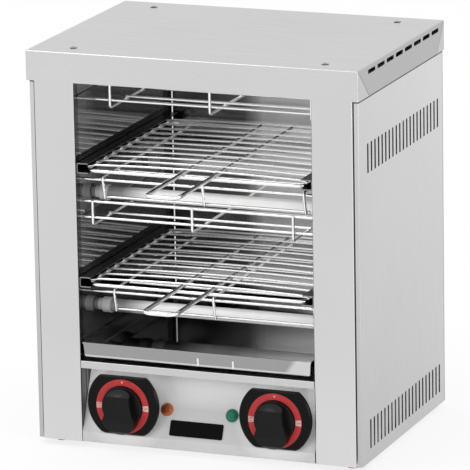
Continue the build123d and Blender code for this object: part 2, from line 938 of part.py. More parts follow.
def knob():
    """A round base with a tall centre grip that widens to a round tail."""
    base = Pos(0, 0, knob_floor + knob_base / 2) * Cylinder(knob_radius, knob_base)
    base = fillet(base.edges().group_by(Axis.Z)[-1], knob_edge)
    low = knob_floor + grip_lift
    rise = knob_height - low
    reach = knob_radius - grip_setback
    tail_shares = ((-1.1, 0.0), (-1.1, 0.1), (-0.86, 0.75), (-0.5, 1.0))
    head_shares = ((0.67, 0.97), (1.1, 0.15), (1.1, 0.0))
    profile = [(grip_tail * along, low + rise * height) for along, height in tail_shares]
    profile += [(reach * along, low + rise * height) for along, height in head_shares]
    side = make_face(Polyline(*profile, close=True))
    side = fillet(side.vertices().sort_by(Axis.Y)[2:], grip_edge)
    grip = prism_x(side, -grip_tail, grip_tail)
    head_y = math.sqrt(reach * reach - grip_head_half_width * grip_head_half_width)
    right = ThreePointArc(
        (grip_head_half_width, head_y), (grip_waist_half_width, 0), (grip_half_width, -grip_wide_y)
    )
    tail = ThreePointArc(
        (grip_half_width, -grip_wide_y), (0, -grip_tail), (-grip_half_width, -grip_wide_y)
    )
    left = ThreePointArc(
        (-grip_half_width, -grip_wide_y), (-grip_waist_half_width, 0),
        (-grip_head_half_width, head_y),
    )
    head = ThreePointArc(
        (-grip_head_half_width, head_y), (0, reach), (grip_head_half_width, head_y)
    )
    plan = make_face([right, tail, left, head])
    plan = fillet(plan.vertices(), grip_corner)
    grip &= extrude(plan, amount=knob_height + overrun)
    bore = Cylinder(shaft_radius + shaft_press, shaft_front + shaft_front + hole_gap)
    return base + grip - bore


def shaft():
    """A timer's shaft, from the knob to inside the timer."""
    rear = seat_depth + shaft_rear
    return Pos(0, 0, (shaft_front - rear) / 2) * Cylinder(shaft_radius, shaft_front + rear)


def timer(side):
    """A clockwork timer behind the sloping panel, with a level boss for its shaft."""
    outline = RectangleRounded(timer_size, timer_size, timer_corner)
    case = Pos(0, 0, -sheet - timer_depth) * extrude(outline, amount=timer_depth)
    for x in (-timer_screw_x, timer_screw_x):
        case -= Pos(x, 0, 0) * Cylinder(screw_radius + seam_gap, (screw_length + screw_length) * 2)
    boss_front = timer_boss_length - seat_depth
    boss = extrude(Circle(timer_boss_radius), amount=shaft_rear)
    body = seat_planes[side] * case
    body += knob_planes[side] * Pos(0, 0, boss_front - shaft_rear) * boss
    bore_length = seat_depth + shaft_rear + seam_gap
    return body - knob_planes[side] * Cylinder(shaft_radius + shaft_gap, bore_length * 2)


def lens():
    """A pilot lamp's domed lens on its flange."""
    flange = extrude(Circle(lens_radius), amount=lens_flange)
    rise = lens_height - lens_flange
    dome_base = lens_radius - lens_flange / 2
    radius = (dome_base * dome_base + rise * rise) / (rise + rise)
    dome = Pos(0, 0, lens_height - radius) * Sphere(radius)
    dome &= Pos(0, 0, lens_flange) * extrude(Circle(lens_radius), amount=lens_height)
    return flange + dome


def pilot_holder():
    """A lamp holder through the panel, with its nut and two tabs."""
    body = Pos(0, 0, -holder_length) * extrude(Circle(holder_radius), amount=holder_length)
    nut = extrude(RegularPolygon(holder_nut_radius, 6), amount=holder_nut_height)
    nut = Pos(0, 0, -sheet - holder_nut_height) * nut
    tab = Box(recess_length, tray_sheet, screw_length)
    tabs = [
        Pos(0, y, -holder_length - screw_length / 2) * tab
        for y in (-holder_radius / 2, holder_radius / 2)
    ]
    return body + [nut] + tabs


def badge_plate():
    plate = extrude(RectangleRounded(badge_width, badge_height, badge_corner), amount=badge_thickness)
    return panel_plane(badge_x, badge_s) * plate


# Cable inlet and wiring
def cable_gland():
    """The inlet for the supply cable: body, cap and inner nut in one piece."""
    flange = extrude(RegularPolygon(gland_flange_radius, 6), amount=gland_flange_length)
    cap_length = gland_reach - gland_flange_length
    cap = Cone(gland_cap_radius, gland_cap_tip_radius, cap_length)
    body = flange + Pos(0, 0, gland_flange_length + cap_length / 2) * cap
    shank = extrude(Circle(gland_shank_radius), amount=-sheet - gland_inner_length)
    nut = extrude(RegularPolygon(gland_flange_radius, 6), amount=-gland_nut_length)
    body = body + shank + Pos(0, 0, -sheet) * nut
    body -= Cylinder(gland_bore, (gland_reach + gland_inner_length + overrun) * 2)
    return facing(gland_x, rear_y, base_z + gland_z, (0, 1, 0)) * body


def terminal_block():
    """A row of poles with a wire bore and a screw well in each."""
    block = slab(
        block_x - block_length / 2, block_x + block_length / 2,
        block_y - block_width / 2, block_y + block_width / 2,
        floor_top, floor_top + block_height,
    )
    pole = block_length / block_poles
    for index in range(block_poles):
        x = block_x - block_length / 2 + pole * (index + 1 / 2)
        well = facing(x, block_y, floor_top + block_height, (0, 0, 1))
        bore = facing(x, block_y, floor_top + block_height / 2, (0, 1, 0))
        block -= holes([well], block_bore, block_height / 4)
        block -= holes([bore], supply_radius + hole_gap, block_width)
    return block


def supply_wire(side, pole_index):
    """A wire from the terminal block to one timer's back."""
    pole = block_length / block_poles
    x0 = block_x - block_length / 2 + pole * (pole_index + 1 / 2)
    z0 = floor_top + block_height / 2
    back = seat_planes[side] * Pos(0, 0, -sheet - timer_depth - seam_gap)
    end = Vector(back.position)
    lead = end - panel_out * (supply_bend + supply_bend)
    turn = Vector(lead.X, lead.Y + supply_bend + supply_bend + supply_bend, z0)
    points = [
        (x0, block_y, z0),
        (x0, block_y - block_width - supply_bend, z0),
        turn,
        lead,
        end,
    ]
    return bent_rod(points, supply_radius, supply_bend / 2)


# The pieces, by node name
parts = {}
for prefix, turned in (("left", mirrored), ("right", lambda shape: shape)):
    parts[prefix + "_side_panel"] = turned(side_panel())
    parts[prefix + "_front_column"] = turned(column())
    parts[prefix + "_chamber_wall"] = turned(chamber_wall())
    parts["lower_" + prefix + "_rail"] = turned(rail(0))
    parts["upper_" + prefix + "_rail"] = turned(rail(1))
    parts[prefix + "_bus_wires"] = turned(harness(abs(knob_xs[prefix])))
    knob_plane = knob_planes[prefix]
    parts[prefix + "_bezel"] = bezel(prefix)
    parts[prefix + "_dial_ring"] = knob_plane * dial_ring()
    parts[prefix + "_knob"] = knob_plane * knob()
    parts[prefix + "_knob_shaft"] = knob_plane * shaft()
    parts[prefix + "_timer"] = timer(prefix)

parts["top_cover"] = top_cover()
parts["front_header"] = front_header()
parts["rear_header"] = rear_header()
parts["back_panel"] = back_panel()
parts["base_plate"] = base_plate()
parts["chamber_back_wall"] = chamber_back_wall()
parts["ceiling_reflector"] = ceiling_reflector()
parts["sill_shelf"] = sill_shelf()
parts["tray_runners"] = both_sides(tray_runner())
parts["control_panel"] = control_panel()
parts["crumb_tray"] = crumb_tray()

for name, guard in guards.items():
    parts[name] = wire_guard(guard)

rack_shifts = (("lower", lower_handle_shift), ("upper", upper_handle_shift))
for level, (name, shift) in enumerate(rack_shifts):
    parts[name + "_rack"] = rack(level)
    parts[name + "_rack_handle"] = rack_handle(level, shift)

for level, name in enumerate(("bottom", "middle", "top")):
    parts[name + "_quartz_tubes"] = Compound([quartz_tube(y, tube_levels[level]) for y in tube_ys])

tube_places = [(y, z) for z in tube_levels for y in tube_ys]
parts["heating_cores"] = Compound([heating_core(y, z) for y, z in tube_places])
parts["tube_end_caps"] = Compound([both_sides(end_cap(y, z)) for y, z in tube_places])
parts["tube_terminals"] = Compound([both_sides(terminal_pin(y, z)) for y, z in tube_places])

for colour, plane in pilot_planes.items():
    parts[colour + "_pilot_lens"] = plane * lens()
parts["pilot_holders"] = Compound([plane * pilot_holder() for plane in pilot_planes.values()])
parts["badge_plate"] = badge_plate()

parts["feet"] = Compound([Pos(x, y, 0) * foot() for x, y in foot_places])
parts["foot_fasteners"] = Compound([piece for x, y in foot_places for piece in foot_fastener(x, y)])
parts["cover_screws"] = Compound([
    screw(place, screw_length, cover_screw_head, cover_screw_recess) for place in cover_screw_places
])
parts["back_screws"] = Compound([screw(place) for place in back_screw_places])
parts["base_screws"] = Compound([screw(place) for place in base_screw_places])
parts["timer_screws"] = Compound([
    screw(place, screw_length + sheet) for place in timer_screw_places
])

parts["cable_gland"] = cable_gland()
parts["terminal_block"] = terminal_block()
parts["supply_wires"] = Compound([supply_wire("left", 0), supply_wire("right", 1)])

for name, shape in parts.items():
    export_step(shape, f"parts/{name}.step")

whole = Compound(list(parts.values())).bounding_box()
print("nodes", len(parts), "size", whole.size, "middle", whole.center())
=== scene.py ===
import math

import bpy
from mathutils import Matrix, Vector


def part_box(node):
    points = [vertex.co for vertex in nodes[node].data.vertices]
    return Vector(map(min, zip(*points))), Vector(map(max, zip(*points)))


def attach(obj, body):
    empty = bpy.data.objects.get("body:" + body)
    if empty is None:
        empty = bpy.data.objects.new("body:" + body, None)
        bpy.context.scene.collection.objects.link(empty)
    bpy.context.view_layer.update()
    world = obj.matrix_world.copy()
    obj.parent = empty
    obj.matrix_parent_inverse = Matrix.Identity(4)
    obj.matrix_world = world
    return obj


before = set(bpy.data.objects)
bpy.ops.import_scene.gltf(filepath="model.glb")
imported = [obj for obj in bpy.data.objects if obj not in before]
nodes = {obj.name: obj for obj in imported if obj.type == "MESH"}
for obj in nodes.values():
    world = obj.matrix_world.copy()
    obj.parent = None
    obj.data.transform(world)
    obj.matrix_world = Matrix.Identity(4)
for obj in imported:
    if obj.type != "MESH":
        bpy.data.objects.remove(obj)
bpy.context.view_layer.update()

scene = bpy.context.scene
scene.view_settings.view_transform = "Standard"


# Places, in metres. The print of each dial lies on its ring's front face.
dial_radius = 0.0277
dial_ring_width = 0.0064
dial_centres = {}
for side in ("left", "right"):
    low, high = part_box(side + "_dial_ring")
    dial_centres[side] = Vector((high.x - dial_radius, low.y, (low.z + high.z) / 2))

# The control panel slopes back from its lip, and the pilot lamps stand square on it
half_sheet = 0.0005
panel_lip = 0.0102
panel_tilt = math.radians(23.4)
panel_up = Vector((0.0, math.sin(panel_tilt), math.cos(panel_tilt)))
panel_out = Vector((0.0, -math.cos(panel_tilt), math.sin(panel_tilt)))
panel_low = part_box("control_panel")[0]
panel_foot = Vector((0.0, panel_low.y + half_sheet, panel_low.z + panel_lip))
lens_radius = 0.0065
lens_up_slope = 0.0292
lens_middle_height = 0.003


def lens_middle(node):
    """The middle of a pilot lamp's lens."""
    across = Vector((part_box(node)[1].x - lens_radius, 0, 0))
    return across + panel_foot + panel_up * lens_up_slope + panel_out * (half_sheet + lens_middle_height)


# Finish of the sheet: how far a noise is drawn out into a brushed grain, and its roughness
grain = 0.02
along_x = (grain, 1.0, 1.0)
along_y = (1.0, grain, 1.0)
along_z = (1.0, 1.0, grain)
satin_roughness = 0.32


# Shader helpers
class Shader:
    """A procedural material built round one Principled BSDF."""

    def __init__(self, name, color, roughness, metallic=0.0, **sockets):
        self.material = bpy.data.materials.new(name)
        self.material.use_nodes = True
        self.tree = self.material.node_tree
        self.bsdf = self.tree.nodes["Principled BSDF"]
        self.bsdf.inputs["Base Color"].default_value = (*color, 1.0)
        self.bsdf.inputs["Roughness"].default_value = roughness
        self.bsdf.inputs["Metallic"].default_value = metallic
        for socket, value in sockets.items():
            self.bsdf.inputs[socket.replace("_", " ")].default_value = value
        coordinates = self.add("ShaderNodeTexCoord")
        self.place = coordinates.outputs["Object"]
        self.normal = coordinates.outputs["Normal"]

    def feed(self, socket, value):
        """Links an output to a socket, or sets the socket to a plain value."""
        if isinstance(value, bpy.types.NodeSocket):
            self.tree.links.new(value, socket)
        else:
            socket.default_value = value

    def add(self, kind, **inputs):
        node = self.tree.nodes.new(kind)
        for key, value in inputs.items():
            self.feed(node.inputs[key.replace("_", " ")], value)
        return node

    def math(self, operation, *values):
        node = self.tree.nodes.new("ShaderNodeMath")
        node.operation = operation
        for socket, value in zip(node.inputs, values):
            self.feed(socket, value)
        return node.outputs["Value"]

    def along(self, axis):
        """One coordinate of the point on the object, in metres."""
        return self.add("ShaderNodeSeparateXYZ", Vector=self.place).outputs[axis]

    def facing(self, axis):
        """How far the surface faces along an axis, from -1 to 1."""
        return self.add("ShaderNodeSeparateXYZ", Vector=self.normal).outputs[axis]

    def size(self, value):
        return self.math("ABSOLUTE", value)

    def distance(self, point):
        node = self.tree.nodes.new("ShaderNodeVectorMath")
        node.operation = "DISTANCE"
        self.feed(node.inputs[0], self.place)
        self.feed(node.inputs[1], point)
        return node.outputs["Value"]

    def near(self, value, middle, half):
        """One where the value lies within half of the middle, and zero elsewhere."""
        return self.math("COMPARE", value, middle, half)

    def below(self, value, limit):
        return self.math("LESS_THAN", value, limit)

    def above(self, value, limit):
        return self.math("GREATER_THAN", value, limit)

    def both(self, mask, other):
        return self.math("MULTIPLY", mask, other)

    def either(self, mask, other):
        return self.math("MAXIMUM", mask, other)

    def noise(self, scale, detail=3.0, stretch=(1.0, 1.0, 1.0)):
        mapping = self.add("ShaderNodeMapping", Vector=self.place, Scale=stretch)
        texture = self.add(
            "ShaderNodeTexNoise", Vector=mapping.outputs["Vector"], Scale=scale, Detail=detail
        )
        return texture.outputs["Fac"]

    def range(self, value, low, high, start=0.3, end=0.7):
        """Goes from low to high as the value goes from start to end, by default a noise's span."""
        node = self.add(
            "ShaderNodeMapRange", Value=value, From_Min=start, From_Max=end, To_Min=low, To_Max=high
        )
        return node.outputs["Result"]

    def fade(self, value, start, end):
        """Goes from zero to one as the value goes from start to end."""
        return self.range(value, 0.0, 1.0, start, end)

    def blend_color(self, value, dark, light, start=0.3, end=0.7):
        ramp = self.add("ShaderNodeValToRGB", Fac=value)
        ramp.color_ramp.elements[0].position = start
        ramp.color_ramp.elements[0].color = (*dark, 1.0)
        ramp.color_ramp.elements[1].position = end
        ramp.color_ramp.elements[1].color = (*light, 1.0)
        return ramp.outputs["Color"]

    def color(self, value):
        self.feed(self.bsdf.inputs["Base Color"], value)

    def roughness(self, value):
        self.feed(self.bsdf.inputs["Roughness"], value)

    def metallic(self, value):
        self.feed(self.bsdf.inputs["Metallic"], value)

    def glow(self, value):
        self.feed(self.bsdf.inputs["Emission Strength"], value)

    def bump(self, value, distance, strength=1.0):
        node = self.add("ShaderNodeBump", Height=value, Distance=distance, Strength=strength)
        self.feed(self.bsdf.inputs["Normal"], node.outputs["Normal"])

    def shades(self, base, *changes):
        """A faintly clouded grey that takes another shade wherever a mask is one."""
        shade = base
        for mask, other in changes:
            gain = self.math("SUBTRACT", other, shade)
            shade = self.math("MULTIPLY_ADD", mask, gain, shade)
        cloud = self.range(self.noise(scale=5.0, detail=2.0), low=0.975, high=1.025)
        self.color(self.math("MULTIPLY", shade, cloud))

    def brushed(self, stretch, depth=0.00002, strength=0.5):
        """Gives the surface a fine brushed grain and returns its noise."""
        fine = self.noise(scale=900.0, detail=2.0, stretch=stretch)
        self.bump(fine, depth, strength)
        return fine

    def polish(self, low, high):
        """The roughness of polished sheet, with faint clouds of heat and handling."""
        return self.range(self.noise(scale=18.0), low, high)


def grey(value):
    return (value, value, value)


# Sheet metal. The lamps don't give all the reflections that the photograph shows, so tones that
# are fixed to places on the sheet stand for the rest.
def satin_shader(name, stretch):
    """Steel sheet with a fine brushed grain along one axis."""
    shader = Shader(name, grey(0.6), satin_roughness, metallic=1.0)
    fine = shader.brushed(stretch)
    shader.roughness(shader.range(fine, satin_roughness * 0.8, satin_roughness * 1.2))
    return shader


def satin_steel(name, stretch):
    shader = satin_shader(name, stretch)
    shader.shades(0.6)
    return shader.material


def cover_steel():
    """The cover, with painted shade: side skirts darker than its top, front and folded corners."""
    # Shade and light painted by facing: darker side skirts, lighter top, front and folded corners
    front_shade = 0.65
    painted_side_shade = 0.445
    painted_corner_shade = 0.56
    painted_top_shade = 0.55
    # Each corner lies beyond a slanting seam, where y plus the lean times z passes the limit
    front_lean = 1.036
    front_limit = 0.3213
    rear_lean = -0.795
    rear_limit = -0.1564
    shader = satin_shader("cover_steel", along_x)
    side = shader.fade(shader.size(shader.facing("X")), 0.3, 0.7)
    top = shader.fade(shader.size(shader.facing("Z")), 0.5, 0.8)
    y = shader.along("Y")
    z = shader.along("Z")
    front = shader.below(shader.math("MULTIPLY_ADD", z, front_lean, y), front_limit)
    rear = shader.above(shader.math("MULTIPLY_ADD", z, rear_lean, y), rear_limit)
    corner = shader.either(front, rear)
    flat = shader.math("SUBTRACT", 1.0, corner)
    shader.shades(
        front_shade,
        (shader.both(side, flat), painted_side_shade),
        (shader.both(side, corner), painted_corner_shade),
        (top, painted_top_shade),
    )
    return shader.material


def side_steel():
    """The side panels, with painted shade: a little darker low down and in front, and a dark line under
    the skirt.
    """
    skirt_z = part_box("top_cover")[0].z
    line_drop = 0.00105
    line_half = 0.00115
    painted_line_shade = 0.03
    shader = satin_shader("side_steel", along_z)
    # Painted shade: darker low down and towards the front
    height = shader.range(shader.along("Z"), low=0.54, high=0.66, start=0.0, end=0.36)
    depth = shader.range(shader.along("Y"), low=0.94, high=1.03, start=-0.085, end=0.15)
    # A painted shadow line just under the skirt's edge
    line = shader.near(shader.along("Z"), skirt_z - line_drop, line_half)
    shader.shades(shader.math("MULTIPLY", height, depth), (line, painted_line_shade))
    return shader.material


def panel_steel():
    """The control panel, with painted light: lighter where it turns in under the sill, at its ends and
    lip.
    """
    # Painted light against the shade: lighter tones under the sill, at the ends and at the lip
    face_shade = 0.52
    painted_upper_light = 0.93
    painted_end_light = 0.97
    painted_lip_light = 0.6
    lip_height = 0.0004
    painted_upper_glow = 0.04
    painted_end_glow = 0.2
    painted_dial_glow = 0.17
    shader = Shader("panel_steel", grey(0.6), 0.5, metallic=0.6)
    z = shader.along("Z")
    upper = shader.fade(z, 0.045, 0.07)
    ends = shader.both(
        shader.fade(shader.size(shader.along("X")), 0.1, 0.108), shader.fade(z, 0.04, 0.052)
    )
    lip = shader.below(z, panel_foot.z + lip_height)
    shader.shades(face_shade, (upper, painted_upper_light), (ends, painted_end_light), (lip, painted_lip_light))
    # Painted light: a faint glow on the front face under the sill, at the ends and round the dials
    glow = shader.math("MULTIPLY_ADD", ends, painted_end_glow, shader.math("MULTIPLY", upper, painted_upper_glow))
    behind_ring = Vector((0.0, 0.0133, 0.0))
    for centre in dial_centres.values():
        reach = shader.distance(centre + behind_ring)
        glow = shader.either(glow, shader.range(reach, low=painted_dial_glow, high=0.0, start=0.035, end=0.05))
    front_face = shader.below(shader.facing("Y"), 0.0)
    shader.glow(shader.both(front_face, glow))
    shader.roughness(shader.range(shader.brushed(along_x), 0.42, 0.56))
    return shader.material


def screw_head_steel():
    """The cover's screws, with painted shade: dark recesses and a dark line round each head."""
    head_shade = 0.45
    painted_recess_shade = 0.02
    recess_depth = 0.00015
    shader = Shader("screw_head_steel", grey(0.6), 0.25, metallic=1.0)
    # Painted shade in the recesses and round the foot of each head
    recess = shader.below(shader.along("Z"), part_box("cover_screws")[1].z - recess_depth)
    shader.shades(head_shade, (recess, painted_recess_shade))
    shader.roughness(shader.range(shader.noise(scale=300.0, detail=2.0), 0.2, 0.35))
    return shader.material


def column_steel():
    """The front columns: satin in front, polished where they turn in to the chamber, with painted light
    and shade.
    """
    painted_inside_shade = 0.12
    return_depth = 0.00055
    shader = Shader("column_steel", grey(0.6), satin_roughness, metallic=1.0)
    inner_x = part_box("right_front_column")[0].x + return_depth
    # Painted shade: the polished inner returns are dark
    inside = shader.below(shader.size(shader.along("X")), inner_x)
    # Painted light: the front is a little lighter low down, near the floor
    front = shader.range(shader.along("Z"), low=0.7, high=0.645, start=0.0, end=0.12)
    shader.shades(front, (inside, painted_inside_shade))
    shader.brushed(along_z, depth=0.00001, strength=0.4)
    shader.roughness(shader.range(inside, low=0.3, high=0.08, start=0.0, end=1.0))
    return shader.material


def ceiling_steel():
    """The mirror polished sheet of the ceiling and the tray's runners."""
    shader = Shader("ceiling_steel", grey(0.3), 0.05, metallic=1.0)
    shader.shades(0.3)
    shader.roughness(shader.polish(0.03, 0.11))
    return shader.material


def chamber_side_steel():
    """The chamber walls: polished, with painted shade in the rear corners and below the shelf."""
    wall_shade = 0.29
    painted_dark_shade = 0.03
    painted_stripe_light = 0.3
    shelf_margin = 0.0001
    shader = Shader("chamber_side_steel", grey(0.4), 0.05, metallic=1.0)
    y = shader.along("Y")
    low = shader.below(shader.along("Z"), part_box("sill_shelf")[1].z - shelf_margin)
    corner = shader.fade(y, 0.134, 0.138)
    stripes = shader.either(
        shader.near(y, middle=-0.0787, half=0.0006), shader.near(y, middle=-0.0722, half=0.0007)
    )
    # Painted shade in the rear corners and below the shelf, with two painted light stripes below it
    shader.shades(
        wall_shade, (corner, painted_dark_shade), (low, painted_dark_shade), (shader.both(low, stripes), painted_stripe_light)
    )
    corner_roughness = shader.math("MULTIPLY", corner, 0.5)
    shader.roughness(shader.either(shader.polish(0.025, 0.06), corner_roughness))
    return shader.material


def chamber_back_steel():
    """The chamber's back wall, duller, with painted light: a lighter right part and a glowing line by each
    edge.
    """
    painted_rear_shade = 0.05
    front_shade = 0.26
    painted_bright_shade = 0.85
    bright_metallic = 0.4
    painted_bright_glow = 0.03
    line_inset = 0.0036
    line_half = 0.0006
    painted_line_glow = 0.75
    shader = Shader("chamber_back_steel", grey(0.4), 0.2, metallic=1.0)
    # Painted light: a glowing line near both edges of the front face
    face = shader.below(shader.facing("Y"), -0.5)
    line_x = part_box("chamber_back_wall")[1].x - line_inset
    line = shader.both(face, shader.near(shader.size(shader.along("X")), line_x, line_half))
    # Painted reflection: the right of the front face is lighter, less metallic and faintly glowing
    bright = shader.both(face, shader.fade(shader.along("X"), -0.04, -0.02))
    # Painted shade darkens the rear face
    base = shader.range(face, painted_rear_shade, front_shade, start=0.0, end=1.0)
    shader.shades(base, (bright, painted_bright_shade))
    shader.metallic(shader.range(bright, 1.0, bright_metallic, start=0.0, end=1.0))
    shader.roughness(shader.polish(0.16, 0.24))
    shader.glow(shader.math("MULTIPLY_ADD", bright, painted_bright_glow, shader.math("MULTIPLY", line, painted_line_glow)))
    return shader.material


def tray_steel():
    """The tray, with painted reflections: lighter to the right, and a darker front wall with a light end
    and edge.
    """
    floor_shade = 0.16
    painted_right_shade = 0.8
    front_shade = 0.34
    painted_highlight_shade = 0.62
    painted_line_shade = 0.85
    front_depth = 0.00229
    edge_height = 0.0027
    line_height = 0.009
    line_half = 0.0009
    end_lean = -0.7
    tray_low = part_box("crumb_tray")[0]
    shader = Shader("tray_steel", grey(0.4), 0.08, metallic=1.0)
    x = shader.along("X")
    z = shader.along("Z")
    front = shader.below(shader.along("Y"), tray_low.y + front_depth)
    # Painted reflections: a light slanted end, a light lower edge and two short light lines on the front
    # wall
    end = shader.fade(shader.math("MULTIPLY_ADD", z, end_lean, x), 0.024, 0.030)
    edge = shader.below(z, tray_low.z + edge_height)
    light = shader.both(front, shader.either(end, edge))
    right = shader.fade(x, 0.015, 0.075)
    lines = shader.either(shader.near(x, 0.0014, line_half), shader.near(x, 0.038, line_half))
    short_painted_lines = shader.both(lines, shader.below(z, tray_low.z + line_height))
    shader.shades(
        floor_shade,
        (right, painted_right_shade),
        (front, front_shade),
        (light, painted_highlight_shade),
        (shader.both(front, short_painted_lines), painted_line_shade),
    )
    shader.roughness(shader.polish(0.015, 0.045))
    return shader.material


def rail_steel():
    """Sheet painted dark as shade, with painted light on its cut ends at the front."""
    painted_side_shade = 0.03
    painted_end_light = 0.28
    shader = Shader("rail_steel", grey(0.04), 0.3, metallic=1.0)
    # Painted light on the front cut ends, painted shade on the sides
    end = shader.below(shader.facing("Y"), -0.7)
    shader.shades(painted_side_shade, (end, painted_end_light))
    shader.roughness(shader.range(shader.noise(scale=300.0, detail=2.0, stretch=along_y), 0.22, 0.36))
    return shader.material


# Plastics
def plastic(name, color, roughness, grain_depth=0.00003, specular=0.5):
    shader = Shader(name, color, roughness, Specular_IOR_Level=specular)
    soft = shader.noise(scale=60.0)
    dark = [channel * 0.85 for channel in color]
    light = [channel * 1.15 for channel in color]
    shader.color(shader.blend_color(soft, dark, light))
    shader.roughness(shader.range(soft, roughness * 0.85, roughness * 1.15))
    shader.bump(shader.noise(scale=2600.0, detail=2.0), grain_depth, strength=0.6)
    return shader.material


def knob_plastic(side):
    """Black plastic, smoothest at a spot on the grip's head."""
    head = dial_centres[side] + Vector((-0.001, -0.0147, 0.0116))
    shader = Shader(side + "_knob_black", grey(0.003), 0.26, Specular_IOR_Level=0.2)
    shader.color(shader.blend_color(shader.noise(scale=60.0), grey(0.0025), grey(0.0035)))
    shader.roughness(shader.range(shader.distance(head), low=0.18, high=0.44, start=0.002, end=0.009))
    shader.bump(shader.noise(scale=2600.0, detail=2.0), 0.00003, strength=0.6)
    return shader.material


# Wires
def rack_chrome(name, core, front):
    """Bright wire: behind the front place its upper side takes the core shade, a painted reflection."""
    shade = 0.94
    shader = Shader(name, grey(shade), 0.14, metallic=1.0)
    cloud = shader.range(shader.noise(scale=70.0), low=0.96, high=1.0)
    # Painted reflection: the upper side behind the front takes the core shade
    up = shader.fade(shader.facing("Z"), 0.55, 0.8)
    upper = shader.both(up, shader.above(shader.along("Y"), front))
    shader.color(shader.math("MULTIPLY", shader.math("MULTIPLY_ADD", upper, core - shade, shade), cloud))
    shader.roughness(shader.range(shader.noise(scale=70.0), 0.1, 0.2))
    shader.bump(shader.noise(scale=500.0, detail=2.0), 0.00001, strength=0.3)
    return shader


def grid_chrome():
    """The racks and guards, with painted light: their upper sides glow inside the chamber, more to the
    right.
    """
    shader = rack_chrome("wire_chrome_plate", core=0.94, front=-1.0)
    # Painted light: a glow on the upper sides inside the chamber, stronger to the right
    up = shader.fade(shader.facing("Z"), 0.2, 0.8)
    glow = shader.range(shader.along("X"), low=0.18, high=0.5, start=-0.03, end=0.05)
    inside = shader.fade(shader.along("Y"), -0.07, 0.0)
    shader.glow(shader.math("MULTIPLY", shader.math("MULTIPLY", up, glow), inside))
    return shader.material


def handle_chrome():
    """The handles, with a painted dark reflection along the top, behind their front bend."""
    return rack_chrome("handle_chrome_plate", core=0.16, front=-0.168).material


def plain_wire(name, shade, roughness):
    shader = Shader(name, grey(shade), roughness, metallic=1.0)
    cloud = shader.noise(scale=70.0)
    shader.color(shader.blend_color(cloud, grey(shade * 0.92), grey(shade * 1.02)))
    shader.roughness(shader.range(cloud, roughness * 0.7, roughness * 1.5))
    shader.bump(shader.noise(scale=500.0, detail=2.0), 0.00001, strength=0.3)
    return shader.material


# Glass, ceramic, lenses, print and rubber
def quartz_glass():
    """Milky quartz that clears to grey towards its left end, its milky part with a faint painted glow."""
    clear_shade = 0.3
    milky_color = (0.97, 0.965, 0.955)
    painted_milky_glow = 0.12
    along_tube = (1.0, 0.1, 0.1)
    shader = Shader("milky_quartz", (0.9, 0.89, 0.87), 0.2, Coat_Weight=0.5, Coat_Roughness=0.06)
    milky = shader.fade(shader.along("X"), -0.094, -0.062)
    faint = shader.range(shader.noise(scale=30.0, detail=2.0, stretch=along_tube), low=0.93, high=1.0)
    tone = shader.math("MULTIPLY", milky, faint)
    shader.color(shader.blend_color(tone, grey(clear_shade), milky_color, start=0.0, end=1.0))
    shader.roughness(shader.range(shader.noise(scale=40.0), 0.16, 0.26))
    # Painted light: the milky part glows faintly
    shader.glow(shader.math("MULTIPLY", tone, painted_milky_glow))
    return shader.material


def ceramic():
    shader = Shader("steatite", (0.7, 0.69, 0.67), 0.5)
    speck = shader.noise(scale=900.0, detail=4.0)
    shader.color(shader.blend_color(speck, (0.6, 0.59, 0.57), (0.74, 0.73, 0.71)))
    shader.bump(speck, 0.0001, strength=0.5)
    return shader.material


def lamp_lens(name, rim, core, node):
    """A clear coloured lens, darker in its middle."""
    shader = Shader(
        name, rim, 0.12, Transmission_Weight=0.1, IOR=1.49,
        Specular_IOR_Level=0.15, Coat_Weight=0.1, Coat_Roughness=0.04,
    )
    soft = shader.noise(scale=500.0, detail=2.0)
    wander = 0.003
    place = shader.math("MULTIPLY_ADD", soft, wander, shader.distance(lens_middle(node)))
    outside = shader.fade(place, 0.0045, 0.0075)
    shader.color(shader.blend_color(outside, core, rim, start=0.0, end=1.0))
    shader.bump(soft, 0.00008, strength=0.4)
    return shader.material


def printed_red():
    shader = Shader("dial_red_print", (0.44, 0.028, 0.03), 0.38, Specular_IOR_Level=0.3)
    soft = shader.noise(scale=150.0)
    shader.color(shader.blend_color(soft, (0.4, 0.025, 0.028), (0.48, 0.035, 0.037)))
    shader.bump(shader.noise(scale=3000.0, detail=2.0), 0.00002, strength=0.5)
    return shader.material


def rubber():
    shader = Shader("foot_rubber_grain", (0.02, 0.02, 0.02), 0.7)
    soft = shader.noise(scale=1500.0, detail=4.0)
    shader.color(shader.blend_color(soft, grey(0.014), grey(0.03)))
    shader.bump(soft, 0.0002, strength=0.6)
    return shader.material


